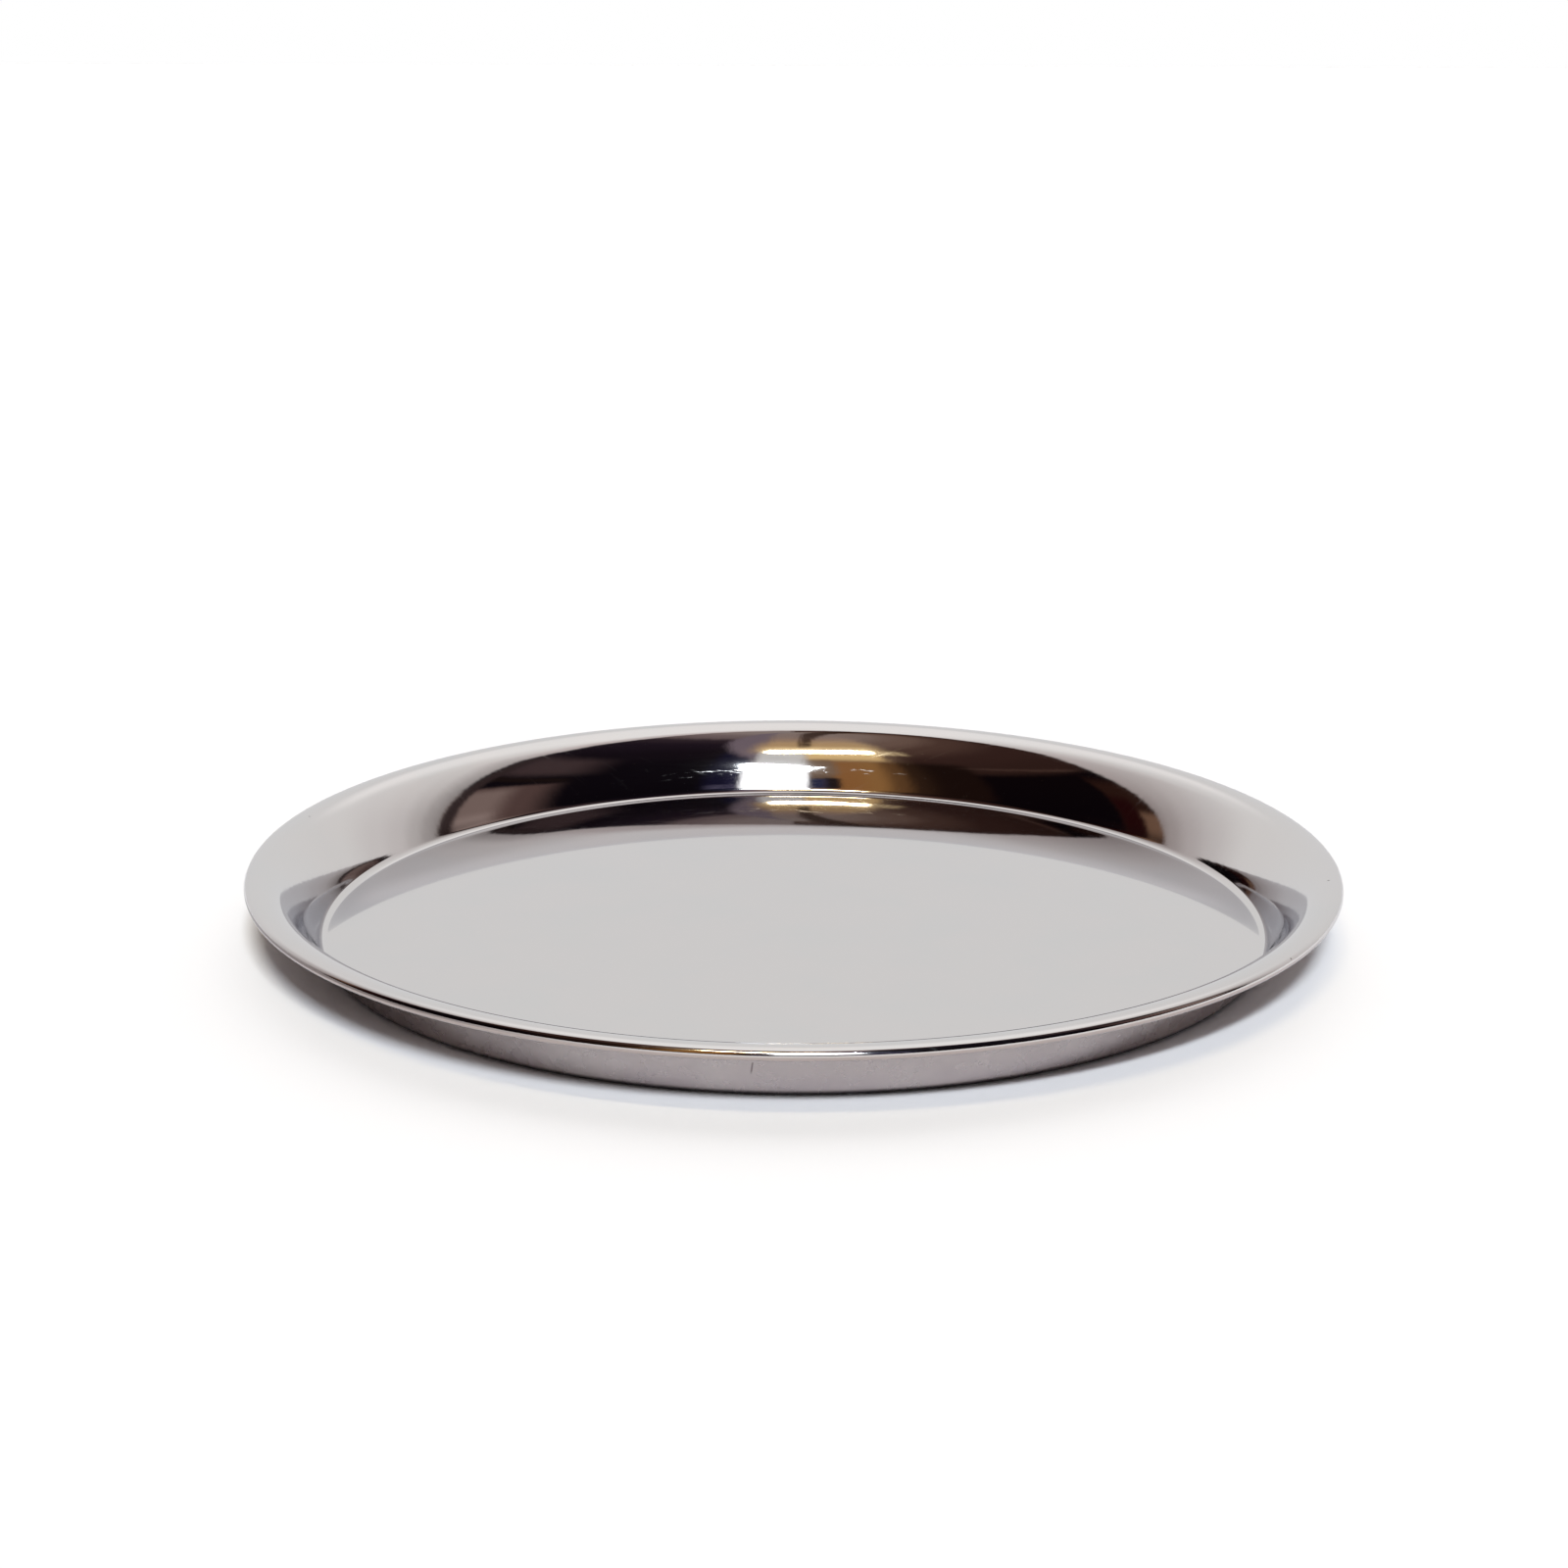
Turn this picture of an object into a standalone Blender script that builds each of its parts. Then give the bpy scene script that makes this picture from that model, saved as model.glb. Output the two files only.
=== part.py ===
"""Round serving tray: a deep-drawn steel pan with a bell-mouthed wall and a wired, rolled rim.

Run with: blender --background --python part.py
Metres, +Z up. The origin is on the table, under the middle of the tray.
"""

import math

import bmesh
import bpy
from mathutils import Matrix, Vector

# Overall sizes
TRAY_RADIUS = 0.180  # to the outside of the rolled rim
TRAY_HEIGHT = 0.0230  # from the table to the crest of the rim
SHEET = 0.0006  # thickness of the steel

# Wall, followed along its upper face from the floor outwards; a slope is measured from level
FLOOR_FILLET = 0.0028  # radius where the floor turns up
WALL_SLOPE = math.radians(72.0)  # steepest, just above the fillet
SWEEP_SLOPE = math.radians(41.0)  # where the wide sweep gives way to the brow
BROW_RADIUS = 0.0118  # the tighter curve over the crest
BROW_FALL = math.radians(12.0)  # slope down to the rolled edge

# Rolled edge and the wire that it grips
BEAD_RADIUS = 0.0018  # outside of the roll
CURL_CLEARANCE = 0.0004  # from the cut edge of the sheet to the underside of the brow
WIRE_CLEARANCE = 0.0003  # from the wire to the sheet rolled round it
WIRE_BUTT_GAP = 0.0010  # between the two ends of the wire

# Fineness of the meshes
STEPS_AROUND = 96
FILLET_STEPS = 4
SWEEP_STEPS = 5
BROW_STEPS = 4
FALL_STEPS = 2
NOSE_STEPS = 3
CURL_STEPS = 9


def sweep_radius():
    """Radius of the wide sweep, which makes up the height that the fillet and the brow leave."""
    fillet_rise = FLOOR_FILLET * (1 - math.cos(WALL_SLOPE))
    brow_rise = BROW_RADIUS * (1 - math.cos(SWEEP_SLOPE))
    rise = TRAY_HEIGHT - SHEET - fillet_rise - brow_rise
    return rise / (math.cos(SWEEP_SLOPE) - math.cos(WALL_SLOPE))


def floor_radius():
    """Radius of the flat floor: the tray's radius less the run of the wall and the rim."""
    fillet_run = FLOOR_FILLET * math.sin(WALL_SLOPE)
    sweep_run = sweep_radius() * (math.sin(WALL_SLOPE) - math.sin(SWEEP_SLOPE))
    brow_run = BROW_RADIUS * (math.sin(SWEEP_SLOPE) + math.sin(BROW_FALL))
    bead_run = BEAD_RADIUS * (1 - math.sin(BROW_FALL))
    return TRAY_RADIUS - fillet_run - sweep_run - brow_run - bead_run


def curl_turn():
    """Angle that the edge is rolled through, until it is CURL_CLEARANCE short of the brow."""
    between_centres = BROW_RADIUS - BEAD_RADIUS
    reach = BROW_RADIUS - SHEET - CURL_CLEARANCE
    cosine = (reach**2 - between_centres**2 - BEAD_RADIUS**2) / (2 * between_centres * BEAD_RADIUS)
    return 2 * math.pi - math.acos(cosine)


def bead_centre():
    """Radius and height of the middle of the rolled edge."""
    crest_run = TRAY_RADIUS - BEAD_RADIUS
    brow_centre_height = TRAY_HEIGHT - BROW_RADIUS
    height = brow_centre_height + (BROW_RADIUS - BEAD_RADIUS) * math.cos(BROW_FALL)
    return Vector((crest_run, 0, height))


def square_to(slope):
    """Direction square to the sheet, out of its upper face, where the sheet has this slope."""
    return Vector((-math.sin(slope), 0, math.cos(slope)))


def arc(start, radius, slope_from, slope_to, steps):
    """Stations along a bend of the upper face, as (point, slope), without the first."""
    side = 1 if slope_to > slope_from else -1
    centre = start + side * radius * square_to(slope_from)
    for step in range(1, steps + 1):
        slope = slope_from + (slope_to - slope_from) * step / steps
        yield centre - side * radius * square_to(slope), slope


def upper_face():
    """Stations along the sheet's upper face, from the rim of the flat floor to the cut edge."""
    level = 0.0
    upright = -math.pi / 2
    curl_end = -BROW_FALL - curl_turn()
    bends = (
        (FLOOR_FILLET, level, WALL_SLOPE, FILLET_STEPS),
        (sweep_radius(), WALL_SLOPE, SWEEP_SLOPE, SWEEP_STEPS),
        (BROW_RADIUS, SWEEP_SLOPE, level, BROW_STEPS),
        (BROW_RADIUS, level, -BROW_FALL, FALL_STEPS),
        (BEAD_RADIUS, -BROW_FALL, upright, NOSE_STEPS),
        (BEAD_RADIUS, upright, curl_end, CURL_STEPS),
    )
    stations = [(Vector((floor_radius(), 0, SHEET)), level)]
    for radius, slope_from, slope_to, steps in bends:
        stations += arc(stations[-1][0], radius, slope_from, slope_to, steps)
    return stations


def pan_section():
    """Half of the pan's section: out along the upper face and back one sheet below it."""
    stations = upper_face()
    above = [point for point, slope in stations]
    below = [point - SHEET * square_to(slope) for point, slope in stations]
    return [Vector((0, 0, SHEET))] + above + below[::-1] + [Vector((0, 0, 0))]


def steel(name, colour, roughness):
    """A bare steel finish."""
    material = bpy.data.materials.new(name)
    material.use_nodes = True
    shader = material.node_tree.nodes["Principled BSDF"]
    shader.inputs["Base Color"].default_value = (*colour, 1)
    shader.inputs["Metallic"].default_value = 1
    shader.inputs["Roughness"].default_value = roughness
    return material


def add_object(name, data, material):
    """Put new geometry into the scene under its own name, with its own material."""
    data.materials.append(material)
    item = bpy.data.objects.new(name, data)
    bpy.context.scene.collection.objects.link(item)
    return item


def make_tray_pan():
    """The pan, turned from its section round the vertical axis."""
    shape = bmesh.new()
    points = [shape.verts.new(point) for point in pan_section()]
    lines = [shape.edges.new(pair) for pair in zip(points, points[1:])]
    bmesh.ops.spin(
        shape,
        geom=points + lines,
        cent=(0, 0, 0),
        axis=(0, 0, 1),
        angle=2 * math.pi,
        steps=STEPS_AROUND,
        use_merge=True,
    )
    bmesh.ops.remove_doubles(shape, verts=shape.verts, dist=SHEET / 100)
    bmesh.ops.recalc_face_normals(shape, faces=shape.faces)
    mesh = bpy.data.meshes.new("tray_pan")
    shape.to_mesh(mesh)
    shape.free()
    mesh.shade_smooth()
    mesh.set_sharp_from_angle(angle=math.radians(50))
    return add_object("tray_pan", mesh, steel("polished_steel", (0.66, 0.65, 0.64), 0.06))


def make_rim_wire():
    """The wire inside the rolled edge: one round rod bent to a ring, its ends nearly meeting."""
    centre = bead_centre()
    butt_angle = WIRE_BUTT_GAP / centre.x
    wire = bpy.data.curves.new("rim_wire", "CURVE")
    wire.dimensions = "3D"
    wire.twist_mode = "Z_UP"
    wire.bevel_depth = BEAD_RADIUS - SHEET - WIRE_CLEARANCE
    wire.bevel_resolution = 2
    wire.use_fill_caps = True
    ring = wire.splines.new("POLY")
    ring.points.add(STEPS_AROUND)
    for index, point in enumerate(ring.points):
        share = index / STEPS_AROUND
        turn = butt_angle / 2 + (2 * math.pi - butt_angle) * share
        point.co = (*(Matrix.Rotation(turn, 3, "Z") @ centre), 1)
    return add_object("rim_wire", wire, steel("wire_steel", (0.45, 0.44, 0.43), 0.35))


def main():
    for item in list(bpy.data.objects):
        bpy.data.objects.remove(item)
    tray = bpy.data.objects.new("round_serving_tray", None)
    bpy.context.scene.collection.objects.link(tray)
    for piece in (make_tray_pan(), make_rim_wire()):
        piece.parent = tray


main()
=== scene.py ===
import math

import bpy
from mathutils import Matrix, Vector


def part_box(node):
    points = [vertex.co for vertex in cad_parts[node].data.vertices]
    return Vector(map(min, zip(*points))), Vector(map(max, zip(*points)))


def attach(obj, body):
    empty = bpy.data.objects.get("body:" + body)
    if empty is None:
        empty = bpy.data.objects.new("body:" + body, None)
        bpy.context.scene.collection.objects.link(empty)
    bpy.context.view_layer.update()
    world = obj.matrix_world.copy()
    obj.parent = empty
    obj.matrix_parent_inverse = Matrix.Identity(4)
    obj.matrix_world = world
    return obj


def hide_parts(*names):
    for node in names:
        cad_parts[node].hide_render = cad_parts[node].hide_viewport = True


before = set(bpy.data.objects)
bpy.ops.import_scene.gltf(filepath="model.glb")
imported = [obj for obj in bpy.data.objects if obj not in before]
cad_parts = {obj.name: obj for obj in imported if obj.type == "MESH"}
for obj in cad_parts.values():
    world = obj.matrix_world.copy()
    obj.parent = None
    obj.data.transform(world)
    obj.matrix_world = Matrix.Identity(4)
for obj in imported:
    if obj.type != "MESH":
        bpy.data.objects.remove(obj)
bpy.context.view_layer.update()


# The pan
#
# One disc of stainless sheet, drawn to a flat floor, a bell-mouthed wall and a nearly level brim,
# and rolled outwards at its edge. It is mirror-polished above; the underside keeps a satin skin.

wire_low, wire_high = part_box("rim_wire")
pan_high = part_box("tray_pan")[1]

SHEET = 0.0006
FLOOR_FILLET = 0.0028
WALL_SLOPE = math.radians(72.0)
SWEEP_SLOPE = math.radians(41.0)
BROW_RADIUS = 0.0118
BROW_FALL = math.radians(12.0)
CURL_CLEARANCE = 0.0004
WIRE_CLEARANCE = 0.0003
STEPS_AROUND = 360

tray_radius = pan_high.x
tray_height = pan_high.z
wire_radius = (wire_high.z - wire_low.z) / 2
bead_radius = wire_radius + WIRE_CLEARANCE + SHEET
brow_rise = BROW_RADIUS * (1 - math.cos(SWEEP_SLOPE))
fillet_rise = FLOOR_FILLET * (1 - math.cos(WALL_SLOPE))
sweep_rise = tray_height - SHEET - fillet_rise - brow_rise
sweep_radius = sweep_rise / (math.cos(SWEEP_SLOPE) - math.cos(WALL_SLOPE))
sweep_run = sweep_radius * (math.sin(WALL_SLOPE) - math.sin(SWEEP_SLOPE))
brow_run = BROW_RADIUS * (math.sin(SWEEP_SLOPE) + math.sin(BROW_FALL))
bead_run = bead_radius * (1 - math.sin(BROW_FALL))
floor_radius = tray_radius - FLOOR_FILLET * math.sin(WALL_SLOPE) - sweep_run - brow_run - bead_run


def square_to(slope):
    """Direction square to the sheet, out of its upper face, where it has this slope."""
    return Vector((-math.sin(slope), 0, math.cos(slope)))


def bend(start, radius, slope_from, slope_to, steps):
    """Points along a round bend of the upper face, without the first."""
    side = 1 if slope_to > slope_from else -1
    centre = start + side * radius * square_to(slope_from)
    slopes = [slope_from + (slope_to - slope_from) * step / steps for step in range(1, steps + 1)]
    return [centre - side * radius * square_to(slope) for slope in slopes]


def half_section():
    """The upper face from the middle of the floor to the cut edge inside the roll."""
    between = BROW_RADIUS - bead_radius
    reach = BROW_RADIUS - SHEET - CURL_CLEARANCE
    cosine = (reach**2 - between**2 - bead_radius**2) / (2 * between * bead_radius)
    curl_end = -BROW_FALL - 2 * math.pi + math.acos(cosine)
    floor_rings = (0, 0.02, 0.05, 0.08, 0.11, 0.13, 0.145, floor_radius - 0.002, floor_radius - 0.0004)
    points = [Vector((radius, 0, SHEET)) for radius in (*floor_rings, floor_radius)]
    points += bend(points[-1], FLOOR_FILLET, 0, WALL_SLOPE, 18)
    points += bend(points[-1], sweep_radius, WALL_SLOPE, SWEEP_SLOPE, 18)
    points += bend(points[-1], BROW_RADIUS, SWEEP_SLOPE, 0, 14)
    points += bend(points[-1], BROW_RADIUS, 0, -BROW_FALL, 8)
    points += bend(points[-1], bead_radius, -BROW_FALL, -math.pi / 2, 10)
    points += bend(points[-1], bead_radius, -math.pi / 2, curl_end, 26)
    return points


def turned_sheet():
    """Geometry nodes that turn a half section, drawn in XZ, into a sheet of even thickness."""
    tree = bpy.data.node_groups.new("turned_sheet", "GeometryNodeTree")
    add = tree.nodes.new
    link = tree.links.new
    for name, kind in (
        ("Half Section", "NodeSocketGeometry"),
        ("Radius", "NodeSocketFloat"),
        ("Steps Around", "NodeSocketInt"),
        ("Sheet", "NodeSocketFloat"),
        ("Upper Finish", "NodeSocketMaterial"),
        ("Lower Finish", "NodeSocketMaterial"),
    ):
        tree.interface.new_socket(name, in_out="INPUT", socket_type=kind)
    tree.interface.new_socket("Pan", in_out="OUTPUT", socket_type="NodeSocketGeometry")
    given = add("NodeGroupInput").outputs

    # the section is laid flat with its rim at the middle, as a profile to sweep round a circle
    minus = add("ShaderNodeMath")
    minus.operation = "MULTIPLY"
    minus.inputs[1].default_value = -1
    link(given["Radius"], minus.inputs[0])
    shift = add("ShaderNodeCombineXYZ")
    link(minus.outputs[0], shift.inputs["X"])
    lay = add("GeometryNodeTransform")
    lay.inputs["Rotation"].default_value = (math.pi / 2, 0, 0)
    link(given["Half Section"], lay.inputs["Geometry"])
    link(shift.outputs[0], lay.inputs["Translation"])
    section = add("GeometryNodeMeshToCurve")
    link(lay.outputs[0], section.inputs["Mesh"])
    circle = add("GeometryNodeCurvePrimitiveCircle")
    link(given["Steps Around"], circle.inputs["Resolution"])
    link(given["Radius"], circle.inputs["Radius"])
    turn = add("GeometryNodeCurveToMesh")
    link(circle.outputs["Curve"], turn.inputs["Curve"])
    link(section.outputs["Curve"], turn.inputs["Profile Curve"])
    upper = add("GeometryNodeMergeByDistance")
    upper.inputs["Distance"].default_value = 1e-6
    link(turn.outputs["Mesh"], upper.inputs["Geometry"])

    # the underside is the upper face pushed through the thickness of the sheet
    through = add("ShaderNodeMath")
    through.operation = "MULTIPLY"
    through.inputs[1].default_value = -1
    link(given["Sheet"], through.inputs[0])
    push = add("GeometryNodeExtrudeMesh")
    push.inputs["Individual"].default_value = False
    link(upper.outputs[0], push.inputs["Mesh"])
    link(through.outputs[0], push.inputs["Offset Scale"])
    turn_out = add("GeometryNodeFlipFaces")
    link(push.outputs["Mesh"], turn_out.inputs["Mesh"])
    mark = add("GeometryNodeStoreNamedAttribute")
    mark.data_type = "BOOLEAN"
    mark.domain = "FACE"
    mark.inputs["Name"].default_value = "underside"
    mark.inputs["Value"].default_value = True
    link(turn_out.outputs[0], mark.inputs["Geometry"])
    both = add("GeometryNodeJoinGeometry")
    link(upper.outputs[0], both.inputs[0])
    link(mark.outputs[0], both.inputs[0])
    shell = add("GeometryNodeMergeByDistance")
    shell.inputs["Distance"].default_value = 1e-6
    link(both.outputs[0], shell.inputs["Geometry"])

    real = add("GeometryNodeRealizeInstances")
    link(shell.outputs[0], real.inputs[0])
    above = add("GeometryNodeSetMaterial")
    link(real.outputs[0], above.inputs["Geometry"])
    link(given["Upper Finish"], above.inputs["Material"])
    underside = add("GeometryNodeInputNamedAttribute")
    underside.data_type = "BOOLEAN"
    underside.inputs["Name"].default_value = "underside"
    below = add("GeometryNodeSetMaterial")
    link(above.outputs[0], below.inputs["Geometry"])
    link(given["Lower Finish"], below.inputs["Material"])
    link(underside.outputs["Attribute"], below.inputs["Selection"])
    link(below.outputs[0], add("NodeGroupOutput").inputs["Pan"])
    return tree


def set_inputs(modifier, values):
    """Gives a geometry nodes modifier its sizes, by the names of the tree's inputs."""
    for item in modifier.node_group.interface.items_tree:
        if item.name in values:
            modifier[item.identifier] = values[item.name]


def made_real(item, name):
    """The evaluated shape of an object as a plain mesh in a new object; the old one goes."""
    shown = item.evaluated_get(bpy.context.evaluated_depsgraph_get())
    mesh = bpy.data.meshes.new_from_object(shown)
    mesh.name = name
    bpy.data.objects.remove(item)
    plain = bpy.data.objects.new(name, mesh)
    bpy.context.scene.collection.objects.link(plain)
    return plain


def wired(tree, node, **inputs):
    """Fills a node's inputs by name: a socket is linked to it and anything else is its value."""
    for name, value in inputs.items():
        socket = node.inputs[name.replace("_", " ")]
        if isinstance(value, bpy.types.NodeSocket):
            tree.links.new(value, socket)
        else:
            socket.default_value = value
    return node


def sum_up(tree, operation, *values):
    """One step of arithmetic in a shader."""
    node = tree.nodes.new("ShaderNodeMath")
    node.operation = operation
    for socket, value in zip(node.inputs, values):
        if isinstance(value, bpy.types.NodeSocket):
            tree.links.new(value, socket)
        else:
            socket.default_value = value
    return node.outputs[0]


def eased(tree, value, low, high, low_to=0.0, high_to=1.0):
    """A value taken smoothly from one range to another, and held beyond its ends."""
    node = tree.nodes.new("ShaderNodeMapRange")
    node.interpolation_type = "SMOOTHSTEP"
    wired(tree, node, Value=value, From_Min=low, From_Max=high, To_Min=low_to, To_Max=high_to)
    return node.outputs["Result"]


def where_all(tree, *masks):
    """Where several masks hold at once."""
    held = masks[0]
    for mask in masks[1:]:
        held = sum_up(tree, "MULTIPLY", held, mask)
    return held


def new_steel(name, colour, roughness):
    """A bare steel material, with the tree and the nodes that its surface detail needs."""
    material = bpy.data.materials.new(name)
    material.use_nodes = True
    tree = material.node_tree
    shader = tree.nodes["Principled BSDF"]
    wired(tree, shader, Base_Color=(*colour, 1), Metallic=1.0, Roughness=roughness)
    place = tree.nodes.new("ShaderNodeTexCoord").outputs["Object"]
    return material, tree, shader, place


def laid_over(tree, below, above, mask):
    """One colour laid over another where the mask is 1."""
    node = tree.nodes.new("ShaderNodeMix")
    node.data_type = "RGBA"
    for socket, value in ((node.inputs[0], mask), (node.inputs[6], below), (node.inputs[7], above)):
        if isinstance(value, bpy.types.NodeSocket):
            tree.links.new(value, socket)
        else:
            socket.default_value = (*value, 1) if isinstance(value, tuple) else value
    return node.outputs[2]


def noisy(tree, place, scale, detail=2.0):
    """An even random pattern from 0 to 1; its spots are about one metre over the scale wide."""
    node = tree.nodes.new("ShaderNodeTexNoise")
    wired(tree, node, Vector=place, Scale=scale, Detail=detail)
    return node.outputs["Fac"]


def stretched(tree, place, scale, turn=0.0):
    """The same place measured along other axes, for marks that are longer one way."""
    node = tree.nodes.new("ShaderNodeMapping")
    wired(tree, node, Vector=place, Scale=scale, Rotation=(0, 0, turn))
    return node.outputs["Vector"]


def near(tree, place, spot, reach):
    """1 at a spot on the tray, easing to 0 at this reach from it."""
    node = tree.nodes.new("ShaderNodeVectorMath")
    node.operation = "DISTANCE"
    tree.links.new(place, node.inputs[0])
    node.inputs[1].default_value = spot
    return eased(tree, node.outputs["Value"], reach * 0.4, reach, 1, 0)


def across_and_up(tree, place):
    """The place as x, y, z and its distance from the tray's axis."""
    split = tree.nodes.new("ShaderNodeSeparateXYZ")
    wired(tree, split, Vector=place)
    x, y, z = split.outputs
    out = sum_up(tree, "SQRT", sum_up(tree, "MULTIPLY_ADD", x, x, sum_up(tree, "MULTIPLY", y, y)))
    return x, y, z, out


def polished_steel():
    """Mirror-polished sheet with a hazy ring of scuffs where stacked trays rub, and hairlines."""
    material, tree, shader, place = new_steel("polished_steel", (0.66, 0.642, 0.636), 0.045)
    wired(tree, shader, Specular_Tint=(0.84, 0.85, 0.88, 1))
    x, y, z, out = across_and_up(tree, place)
    on_wall = eased(tree, z, 0.0008, 0.0026)

    # hairlines left by cloths and plates, in three directions
    hairs = 0.0
    for turn, stretch in ((0.3, (3, 90, 3)), (1.5, (2, 110, 2)), (2.5, (4, 80, 4))):
        lines = noisy(tree, stretched(tree, place, stretch, turn), 9.0, 1.0)
        hairs = sum_up(tree, "MAXIMUM", hairs, eased(tree, lines, 0.70, 0.76))

    # dashes where the foot of the next tray in a stack rubs the back of the wall
    side = sum_up(tree, "DIVIDE", x, out)
    ring = sum_up(tree, "MULTIPLY_ADD", sum_up(tree, "MULTIPLY", side, side), -0.010, 0.0086)
    off_ring = sum_up(tree, "ABSOLUTE", sum_up(tree, "SUBTRACT", z, ring))
    dashes = eased(tree, noisy(tree, stretched(tree, place, (1, 1, 9)), 150.0, 4.0), 0.55, 0.66)
    in_ring = eased(tree, off_ring, 0.0006, 0.0017, 1, 0)
    past_west = eased(tree, side, -0.35, -0.27)
    before_east = eased(tree, side, 0.22, 0.32, 1, 0)
    at_back = eased(tree, y, 0.0, 0.1)
    rub = where_all(tree, dashes, in_ring, past_west, before_east, at_back)
    flecks = eased(tree, noisy(tree, stretched(tree, place, (1, 1, 4)), 520.0, 2.0), 0.75, 0.80)
    flecks = where_all(tree, flecks, on_wall, eased(tree, y, -0.06, 0.03))
    rub = sum_up(tree, "MAXIMUM", rub, flecks)

    haze = eased(tree, noisy(tree, place, 14.0, 4.0), 0.35, 0.75, 0.032, 0.055)
    rings = noisy(tree, stretched(tree, place, (1, 1, 12)), 110.0, 3.0)
    rough = sum_up(tree, "MULTIPLY_ADD", where_all(tree, on_wall, rings), 0.035, haze)
    rough = sum_up(tree, "MULTIPLY_ADD", hairs, 0.05, rough)
    rough = sum_up(tree, "MULTIPLY_ADD", rub, 0.18, rough)
    tree.links.new(rough, shader.inputs["Roughness"])

    # faint stains, and a few dark specks on the brim
    stain = eased(tree, noisy(tree, place, 32.0, 5.0), 0.40, 0.70)
    colour = laid_over(tree, (0.664, 0.642, 0.636), (0.652, 0.639, 0.635), stain)
    specks = near(tree, place, (0.1738, -0.0212, 0.02295), 0.0006)
    for spot in ((0.1510, -0.0971, 0.0222), (0.1684, -0.0530, 0.0226), (-0.1671, 0.0480, 0.0226)):
        specks = sum_up(tree, "MAXIMUM", specks, near(tree, place, spot, 0.0005))
    colour = laid_over(tree, colour, (0.16, 0.14, 0.13), where_all(tree, specks, 0.8))

    # the polish stops half way down the roll, whose lower half is darker, partly for the unpolished
    # sheet and partly as painted shade under the roll; just above that on the left is a painted dark
    # reflection
    on_roll = eased(tree, out, 0.1770, 0.1780)
    # the sheet's own duller tone and painted shade: the roll's lower half darkened
    shaded_unpolished = where_all(tree, on_roll, eased(tree, z, 0.0207, 0.0213, 1, 0))
    colour = laid_over(tree, colour, (0.47, 0.408, 0.392), shaded_unpolished)
    # painted reflection: a dark band on the left of the roll, above where the polish stops
    above_skin = eased(tree, z, 0.0205, 0.0211)
    below_crest = eased(tree, z, 0.0214, 0.0219, 1, 0)
    on_left = eased(tree, x, -0.13, -0.02, 0.85, 0)
    painted_dark_reflection = where_all(tree, on_roll, above_skin, below_crest, on_left)
    colour = laid_over(tree, colour, (0.10, 0.070, 0.065), painted_dark_reflection)
    tree.links.new(colour, shader.inputs["Base Color"])

    waves = noisy(tree, place, 240.0, 2.0)
    bump = tree.nodes.new("ShaderNodeBump")
    lift = sum_up(tree, "MULTIPLY_ADD", rings, 0.25, waves)
    wired(tree, bump, Height=lift, Strength=where_all(tree, on_wall, 0.6), Distance=0.00002)
    tree.links.new(bump.outputs[0], shader.inputs["Normal"])
    return material


def satin_steel():
    """The outer side, which is not polished: an even grain, mottled, with painted shade at its left
    end, under the brim and in a dark line where it meets the table.
    """
    material, tree, shader, place = new_steel("satin_steel", (0.62, 0.570, 0.565), 0.34)
    x, y, z, out = across_and_up(tree, place)
    mottle = eased(tree, noisy(tree, place, 55.0, 2.5), 0.30, 0.72)
    colour = laid_over(tree, (0.545, 0.475, 0.457), (0.58, 0.513, 0.492), mottle)
    low_down = eased(tree, z, 0.002, 0.011, 1, 0)
    in_blots = eased(tree, mottle, 0.1, 0.9, 0.75, 0.3)
    colour = laid_over(tree, colour, (0.50, 0.435, 0.44), where_all(tree, low_down, in_blots))
    # painted shade: the wall darkened towards its left end, above the table
    painted_left_shade = eased(tree, x, -0.150, -0.095, 0.78, 0)
    off_table = eased(tree, z, 0.0004, 0.0020)
    colour = laid_over(tree, colour, (0.13, 0.095, 0.09), where_all(tree, painted_left_shade, off_table))
    # painted shade: the wall darker up under the brim
    painted_brim_shade = eased(tree, z, 0.0135, 0.0175)
    colour = laid_over(tree, colour, (0.24, 0.205, 0.20), painted_brim_shade)

    # a leaning nick in the front of the wall, and a painted shadow in the dark line where the foot
    # meets the table
    off_nick = sum_up(tree, "MULTIPLY_ADD", z, -0.12, sum_up(tree, "ADD", x, 0.0130))
    across_nick = eased(tree, sum_up(tree, "ABSOLUTE", off_nick), 0.0001, 0.0004, 1, 0)
    in_front = eased(tree, y, -0.15, -0.14, 1, 0)
    above_tail = eased(tree, z, 0.0075, 0.0095)
    below_head = eased(tree, z, 0.0122, 0.0132, 1, 0)
    nick = where_all(tree, across_nick, in_front, above_tail, below_head, 0.8)
    colour = laid_over(tree, colour, (0.20, 0.15, 0.15), nick)
    # painted shade: a near-black line along the bottom of the wall where it meets the table
    painted_contact_shade = where_all(tree, eased(tree, z, 0.0007, 0.0026, 1, 0), eased(tree, out, 0.1535, 0.1548))
    colour = laid_over(tree, colour, (0.035, 0.028, 0.035), painted_contact_shade)
    tree.links.new(colour, shader.inputs["Base Color"])
    rough = eased(tree, noisy(tree, place, 160.0, 4.0), 0.3, 0.7, 0.26, 0.30)
    tree.links.new(rough, shader.inputs["Roughness"])
    bump = tree.nodes.new("ShaderNodeBump")
    wired(tree, bump, Height=noisy(tree, place, 900.0, 3.0), Strength=0.06, Distance=0.00005)
    tree.links.new(bump.outputs[0], shader.inputs["Normal"])
    return material


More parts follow.
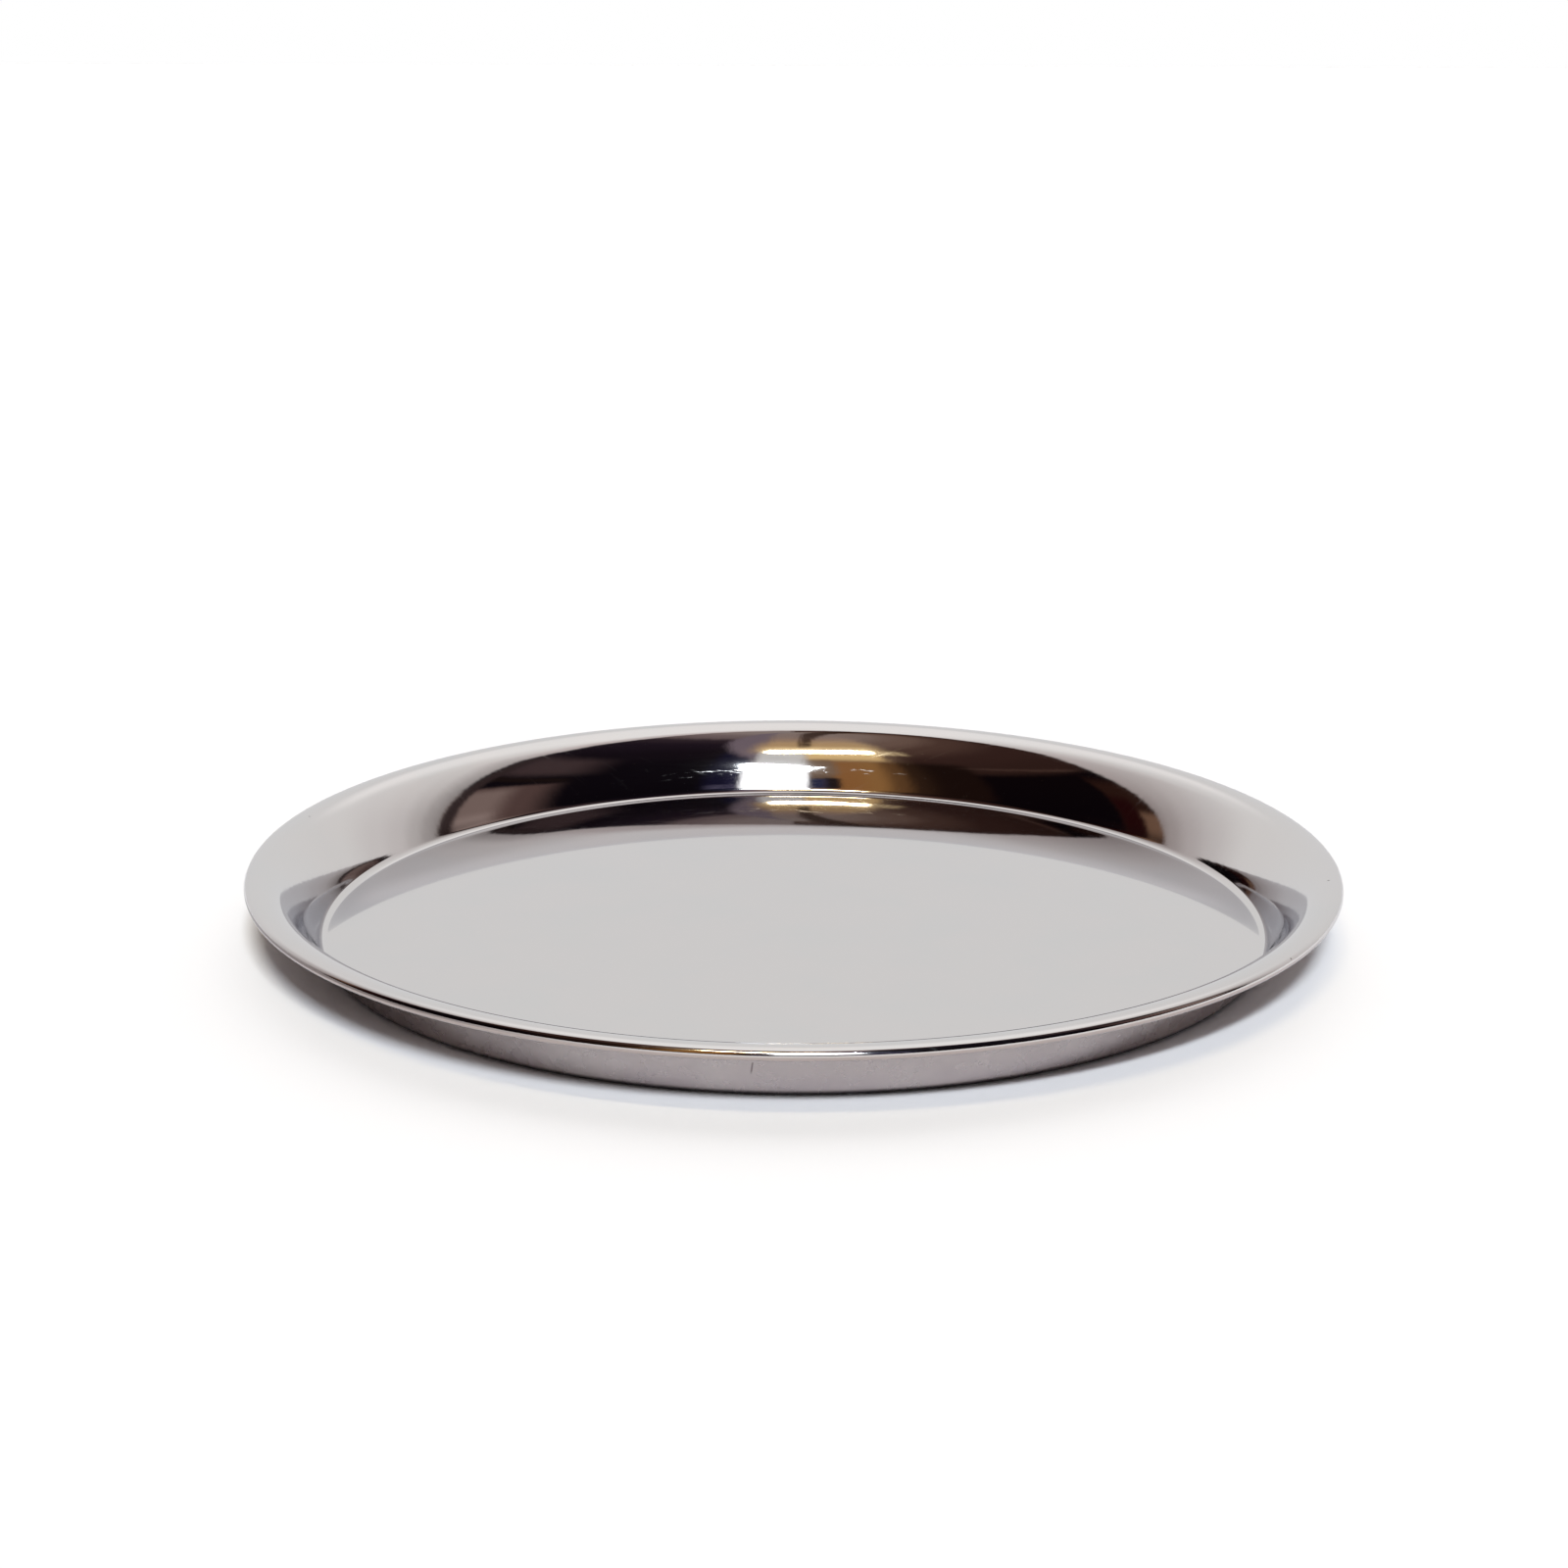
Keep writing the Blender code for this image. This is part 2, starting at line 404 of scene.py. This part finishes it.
section = half_section()
outline = bpy.data.meshes.new("pan_section")
outline.from_pydata(section, [(n, n + 1) for n in range(len(section) - 1)], [])
blank = bpy.data.objects.new("pan_section", outline)
bpy.context.scene.collection.objects.link(blank)
spin = blank.modifiers.new("turned_sheet", "NODES")
spin.node_group = turned_sheet()
set_inputs(
    spin,
    {
        "Radius": tray_radius,
        "Steps Around": STEPS_AROUND,
        "Sheet": SHEET,
        "Upper Finish": polished_steel(),
        "Lower Finish": satin_steel(),
    },
)
pan = made_real(blank, "pan")
pan.data.shade_smooth()
pan.data.set_sharp_from_angle(angle=math.radians(40))
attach(pan, "root")
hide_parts("tray_pan")


# The rim wire
#
# Drawn steel wire bent to a ring inside the rolled edge, its two ends nearly meeting.
# The roll hides it, so the frame's own ring stays, with a dull drawn finish.

wire_steel, tree, shader, place = new_steel("wire_steel", (0.42, 0.41, 0.40), 0.4)
draw_marks = tree.nodes.new("ShaderNodeTexNoise")
wired(tree, draw_marks, Vector=place, Scale=1500.0, Detail=2.0)
bump = tree.nodes.new("ShaderNodeBump")
wired(tree, bump, Height=draw_marks.outputs["Fac"], Strength=0.2, Distance=0.0001)
tree.links.new(bump.outputs[0], shader.inputs["Normal"])
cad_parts["rim_wire"].data.materials.clear()
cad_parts["rim_wire"].data.materials.append(wire_steel)


# The studio
#
# A white table in front of pale cloth that hangs behind it and over it. On the camera's side lies
# an unlit room with a window, a warm strip lamp and wooden doors, which the polished steel mirrors.

WHITE = (1, 1, 1)
GAIN = 1.41  # steel gives back somewhat less than it mirrors
CLOTH_LIGHT = 0.807


def spot_tone(red, green, blue, gain=GAIN):
    """A tone written as it looks in the steel, 0 to 255, made linear for a shader."""
    def straight(v):
        v = v / 255
        return v / 12.92 if v <= 0.04045 else ((v + 0.055) / 1.055) ** 2.4
    return tuple(straight(v) * gain for v in (red, green, blue))


def cloth_tone(light, green, blue):
    """The cloth at one place: how light it is, and how far its green and blue fall below its red."""
    return tuple(CLOTH_LIGHT * light * share for share in (1, green, blue))


def tone_ramp(tree, factor, stops, between="EASE"):
    """Tones that change along a factor; each stop is (place, tone)."""
    node = tree.nodes.new("ShaderNodeValToRGB")
    node.color_ramp.interpolation = between
    points = node.color_ramp.elements
    while len(points) < len(stops):
        points.new(0.5)
    for point, (where, tone) in zip(points, stops):
        point.position = where
        point.color = (*tone, 1)
    wired(tree, node, Fac=factor)
    return node.outputs["Color"]


world = bpy.data.worlds.new("studio")
bpy.context.scene.world = world
world.use_nodes = True
tree = world.node_tree
backdrop = tree.nodes["Background"]
aim = tree.nodes.new("ShaderNodeSeparateXYZ")
wired(tree, aim, Vector=tree.nodes.new("ShaderNodeTexCoord").outputs["Generated"])
aim_x, aim_y, aim_z = aim.outputs
height = sum_up(tree, "DEGREES", sum_up(tree, "ARCSINE", aim_z))
bearing = sum_up(tree, "DEGREES", sum_up(tree, "ARCTAN2", aim_x, sum_up(tree, "MULTIPLY", aim_y, -1.0)))

upright = tree.nodes.new("ShaderNodeCombineXYZ")
wired(tree, upright, X=bearing, Y=sum_up(tree, "MULTIPLY", height, 0.08))
folds = tree.nodes.new("ShaderNodeTexNoise")
wired(tree, folds, Vector=upright.outputs[0], Scale=0.7, Detail=2.0)
folded = eased(tree, folds.outputs["Fac"], 0.35, 0.65)


def panel(west, east, low, high, side_soft, level_soft, tilt=0.0, streaked=False):
    """A patch of the room by bearing from the camera's side and by height, in degrees.

    Its level edges rise by the tilt for each degree eastwards, about its middle.
    """
    off_middle = sum_up(tree, "SUBTRACT", bearing, (west + east) / 2)
    level = sum_up(tree, "MULTIPLY_ADD", off_middle, -tilt, height)
    mask = where_all(
        tree,
        eased(tree, bearing, west - side_soft, west + side_soft),
        eased(tree, bearing, east - side_soft, east + side_soft, 1, 0),
        eased(tree, level, low - level_soft, low + level_soft),
        eased(tree, level, high - level_soft, high + level_soft, 1, 0),
    )
    return where_all(tree, mask, folded) if streaked else mask


# walls and ceiling: the left wall's dark part rises towards the cloth
west_level = sum_up(tree, "MULTIPLY_ADD", sum_up(tree, "ADD", bearing, 45.0), 0.22, height)
room_west = tone_ramp(tree, sum_up(tree, "DIVIDE", west_level, 90.0), (
    (0.0, spot_tone(8, 4, 7)),
    (0.41, spot_tone(10, 5, 7)),
    (0.47, spot_tone(44, 28, 24)),
    (0.60, spot_tone(50, 32, 28)),
    (0.70, spot_tone(72, 52, 45)),
    (0.78, spot_tone(100, 80, 71)),
    (0.88, spot_tone(122, 105, 97)),
    (1.0, spot_tone(132, 120, 114)),
))
room_east = tone_ramp(tree, sum_up(tree, "DIVIDE", height, 90.0), (
    (0.0, spot_tone(9, 6, 10)),
    (0.50, spot_tone(12, 8, 13)),
    (0.66, spot_tone(19, 13, 19)),
    (0.76, spot_tone(27, 19, 27)),
    (0.81, spot_tone(42, 32, 38)),
    (0.86, spot_tone(104, 90, 90)),
    (0.94, spot_tone(128, 115, 112)),
    (1.0, spot_tone(132, 121, 117)),
))
room_middle = tone_ramp(tree, sum_up(tree, "DIVIDE", height, 90.0), (
    (0.0, spot_tone(60, 45, 40)),
    (0.62, spot_tone(112, 90, 72)),
    (0.76, spot_tone(176, 150, 116)),
    (0.82, spot_tone(140, 118, 104)),
    (0.90, spot_tone(128, 112, 106)),
    (1.0, spot_tone(130, 118, 112)),
))
room = laid_over(tree, room_west, room_middle, eased(tree, bearing, -39, -25))
room = laid_over(tree, room, room_east, eased(tree, bearing, 8, 24))
doors = tone_ramp(tree, eased(tree, bearing, -44, -12), (
    (0.0, spot_tone(24, 13, 10)),
    (0.22, spot_tone(42, 27, 18)),
    (0.45, spot_tone(86, 59, 35)),
    (0.75, spot_tone(132, 94, 54)),
    (1.0, spot_tone(130, 88, 50)),
))
room = laid_over(tree, room, doors, panel(-54, -11, -20, 50, 2.5, 3))
for patch, tone in (
    # the right wall: its lit part, a dark rail across it and its far edge
    ((69, 103, -20, 37.5, 6, 1.5, 0.05), spot_tone(78, 60, 57)),
    ((82, 103, -20, 36, 5, 3), spot_tone(114, 97, 92)),
    ((84, 97, 8, 18, 3, 4), spot_tone(132, 115, 110)),
    ((64, 99, 45, 57, 11, 3, 0.12), spot_tone(60, 47, 48)),
    ((66, 101, 40.5, 43.5, 4, 1, 0.2), spot_tone(24, 16, 15)),
    ((96, 101, -10, 56, 1.2, 4), spot_tone(46, 36, 36)),
    # the left wall: a wooden post at its far edge and a pale rail
    ((-108, -93, -20, 45, 1.5, 4), spot_tone(38, 21, 16)),
    ((-108, -100, -20, 26, 1.5, 3), spot_tone(100, 75, 60)),
    ((-100, -93, -20, 34, 1.5, 4), spot_tone(30, 7, 8)),
    ((-98, -54, 48.6, 49.8, 8, 0.9, -0.1), spot_tone(66, 48, 42)),
    # beside and round the lamp
    ((13, 24, 8, 62, 3, 5), spot_tone(17, 15, 36)),
    ((10, 33, 60, 85, 4, 4, 1.2), spot_tone(106, 94, 102)),
    ((-31, 14, 60, 72, 6, 5), spot_tone(168, 138, 100)),
    ((-30, 12, 60, 65.5, 4, 2.5), spot_tone(214, 186, 138)),
    ((-29, -3, 51, 61, 2.5, 2.5), spot_tone(206, 173, 120)),
    ((-12, -3.5, 34, 50, 2, 3), spot_tone(112, 90, 72)),
    ((-12.5, -8, 18, 30.5, 1.2, 1.5), spot_tone(30, 22, 22)),
    ((-8.5, -4, 16, 29.5, 1.6, 1.5), spot_tone(38, 40, 64)),
    ((-3.5, 12, 42, 60, 2, 3), spot_tone(192, 190, 188)),
    ((13, 18, 12, 52, 2, 5), spot_tone(28, 26, 50)),
    ((14, 23, 13, 22, 2.5, 3), spot_tone(96, 91, 112)),
    ((-40, -29, 57.5, 62, 2, 1.2, 0, True), spot_tone(190, 168, 130)),
    # the lamp, the window, and the brightest light at the window's top
    ((-27, 8.5, 59, 61.5, 2, 0.9), spot_tone(255, 238, 196, 48.0)),
    ((-3.8, 14.5, 17, 43.0, 0.9, 1.8, 0.22), spot_tone(250, 252, 255, 1.9)),
    ((-3.2, 14.4, 40.3, 43.9, 1.2, 1.2, 0.22), spot_tone(240, 249, 255, 229.0)),
):
    room = laid_over(tree, room, tone, panel(*patch))

# a dark cable runs from over the lamp to the ceiling above the tray
slack = sum_up(tree, "POWER", sum_up(tree, "MAXIMUM", sum_up(tree, "ADD", aim_y, 0.3), 0.0), 2.0)
off_cable = sum_up(tree, "ADD", aim_x, sum_up(tree, "MULTIPLY_ADD", slack, 0.4, 0.030))
off_cable = sum_up(tree, "DIVIDE", off_cable, eased(tree, aim_y, -0.32, 0.0, 1.0, 2.1))
cable = eased(tree, sum_up(tree, "ABSOLUTE", off_cable), 0.009, 0.021, 0.9, 0)
cable = where_all(tree, cable, eased(tree, aim_y, -0.46, -0.36))
room = laid_over(tree, room, spot_tone(47, 31, 24), cable)

# the cloth is lightest overhead and behind, and falls into shade towards its hem and the table
cloth_low = tone_ramp(tree, aim_y, (
    (0.15, cloth_tone(0.40, 0.88, 0.86)),
    (0.25, cloth_tone(0.58, 0.92, 0.90)),
    (0.32, cloth_tone(0.74, 0.94, 0.92)),
    (0.42, cloth_tone(0.91, 0.95, 0.94)),
    (0.55, cloth_tone(0.99, 0.965, 0.955)),
    (0.75, cloth_tone(1.12, 0.985, 0.97)),
    (1.0, cloth_tone(1.17, 0.995, 0.975)),
))
cloth_high = tone_ramp(tree, aim_y, (
    (0.10, cloth_tone(0.92, 0.90, 0.88)),
    (0.20, cloth_tone(1.10, 0.94, 0.92)),
    (0.30, cloth_tone(1.14, 0.96, 0.94)),
    (0.42, cloth_tone(1.17, 0.97, 0.95)),
    (0.60, cloth_tone(1.22, 0.99, 0.98)),
    (1.0, cloth_tone(1.12, 1.0, 1.0)),
))
cloth = laid_over(tree, cloth_low, cloth_high, eased(tree, height, 18, 62))

# it is shaded on the left, in a fold near its hem on the right, and brightest high at the back
on_left = eased(tree, aim_x, -0.65, -0.1, 0.35, 0)
near_hem = eased(tree, aim_y, 0.2, 0.8, 1, 0)
cloth = laid_over(tree, cloth, (0.07, 0.0, 0.0), where_all(tree, on_left, near_hem))
past_fold = eased(tree, aim_x, 0.42, 0.58, 0, 0.30)
before_edge = eased(tree, aim_x, 0.76, 0.92, 1, 0.3)
at_hem = eased(tree, aim_y, 0.17, 0.31, 1, 0)
cloth = laid_over(tree, cloth, (0.02, 0.02, 0.02), where_all(tree, past_fold, before_edge, at_hem))
off_middle = sum_up(tree, "ABSOLUTE", sum_up(tree, "ADD", aim_x, -0.05))
at_back = where_all(
    tree,
    eased(tree, off_middle, 0.15, 0.42, 1, 0),
    eased(tree, height, 27, 38),
    eased(tree, aim_y, 0.14, 0.26),
)
cloth = laid_over(tree, cloth, cloth_tone(1.40, 0.985, 0.97), at_back)

# the cloth's wavy hem, from left to right, and the open room in front of it
hem_level = (
    (0.0, 0.29), (0.075, 0.255), (0.125, 0.215), (0.175, 0.175), (0.225, 0.150), (0.275, 0.143),
    (0.325, 0.172), (0.400, 0.192), (0.475, 0.165), (0.525, 0.120), (0.575, 0.090), (0.625, 0.050),
    (0.675, 0.038), (0.725, 0.068), (0.775, 0.140), (0.825, 0.155), (0.900, 0.166), (1.0, 0.20),
)
along_hem = sum_up(tree, "MULTIPLY_ADD", aim_x, 0.5, 0.5)
hem = tone_ramp(tree, along_hem, [(at, (level,) * 3) for at, level in hem_level], "LINEAR")
open_front = eased(tree, sum_up(tree, "SUBTRACT", aim_y, hem), -0.022, 0.012, 1, 0)
room = laid_over(tree, room, spot_tone(26, 14, 13), eased(tree, height, 4, 17, 0.95, 0))
mirrored = laid_over(tree, cloth, room, open_front)

# the camera itself sees plain white behind the table
ray = tree.nodes.new("ShaderNodeLightPath").outputs
seen = laid_over(tree, mirrored, WHITE, ray["Is Camera Ray"])
wired(tree, backdrop, Color=seen, Strength=1.0)

table_mesh = bpy.data.meshes.new("table_top")
reach = 4.0
table_mesh.from_pydata(
    [(-reach, -reach, 0), (reach, -reach, 0), (reach, reach, 0), (-reach, reach, 0)], [], [(0, 1, 2, 3)]
)
table_top = bpy.data.objects.new("table_top", table_mesh)
bpy.context.scene.collection.objects.link(table_top)
paint = bpy.data.materials.new("white_table")
paint.use_nodes = True
finish = paint.node_tree.nodes["Principled BSDF"]
wired(paint.node_tree, finish, Base_Color=(0.84, 0.83, 0.848, 1), Roughness=0.9, Specular_IOR_Level=0.0)
table_mesh.materials.append(paint)


# The camera
#
# It looks from the front, 18.5 degrees above the table and 1.1 m away, with a long lens.

CAMERA_DISTANCE = 1.1217
CAMERA_RISE = math.radians(18.461)
PHOTO_SIDE = 1600
PIXELS_PER_METRE = 3064.4
TRAY_MIDDLE = (810.05, 943.9)
CAMERA_ROLL = math.radians(0.154)

stand = Vector((0, -math.cos(CAMERA_RISE), math.sin(CAMERA_RISE))) * CAMERA_DISTANCE
look = -stand.normalized()
across = Vector((1, 0, 0))
upright = across.cross(look)
aim_right = (PHOTO_SIDE / 2 - TRAY_MIDDLE[0]) / PIXELS_PER_METRE
aim_up = (TRAY_MIDDLE[1] - PHOTO_SIDE / 2) / PIXELS_PER_METRE
target = across * aim_right + upright * aim_up
lens = bpy.data.cameras.new("camera")
camera = bpy.data.objects.new("camera", lens)
bpy.context.scene.collection.objects.link(camera)
sight = target - stand
camera.location = stand
camera.rotation_mode = "QUATERNION"
camera.rotation_quaternion = (
    sight.to_track_quat("-Z", "Y") @ Matrix.Rotation(CAMERA_ROLL, 3, "Z").to_quaternion()
)
swing = sight.angle(look)
lens.sensor_width = 36
lens.lens = 36 * PIXELS_PER_METRE * CAMERA_DISTANCE * math.cos(swing) / PHOTO_SIDE
lens.clip_end = 20
bpy.context.scene.camera = camera
bpy.context.scene.view_settings.view_transform = "Standard"
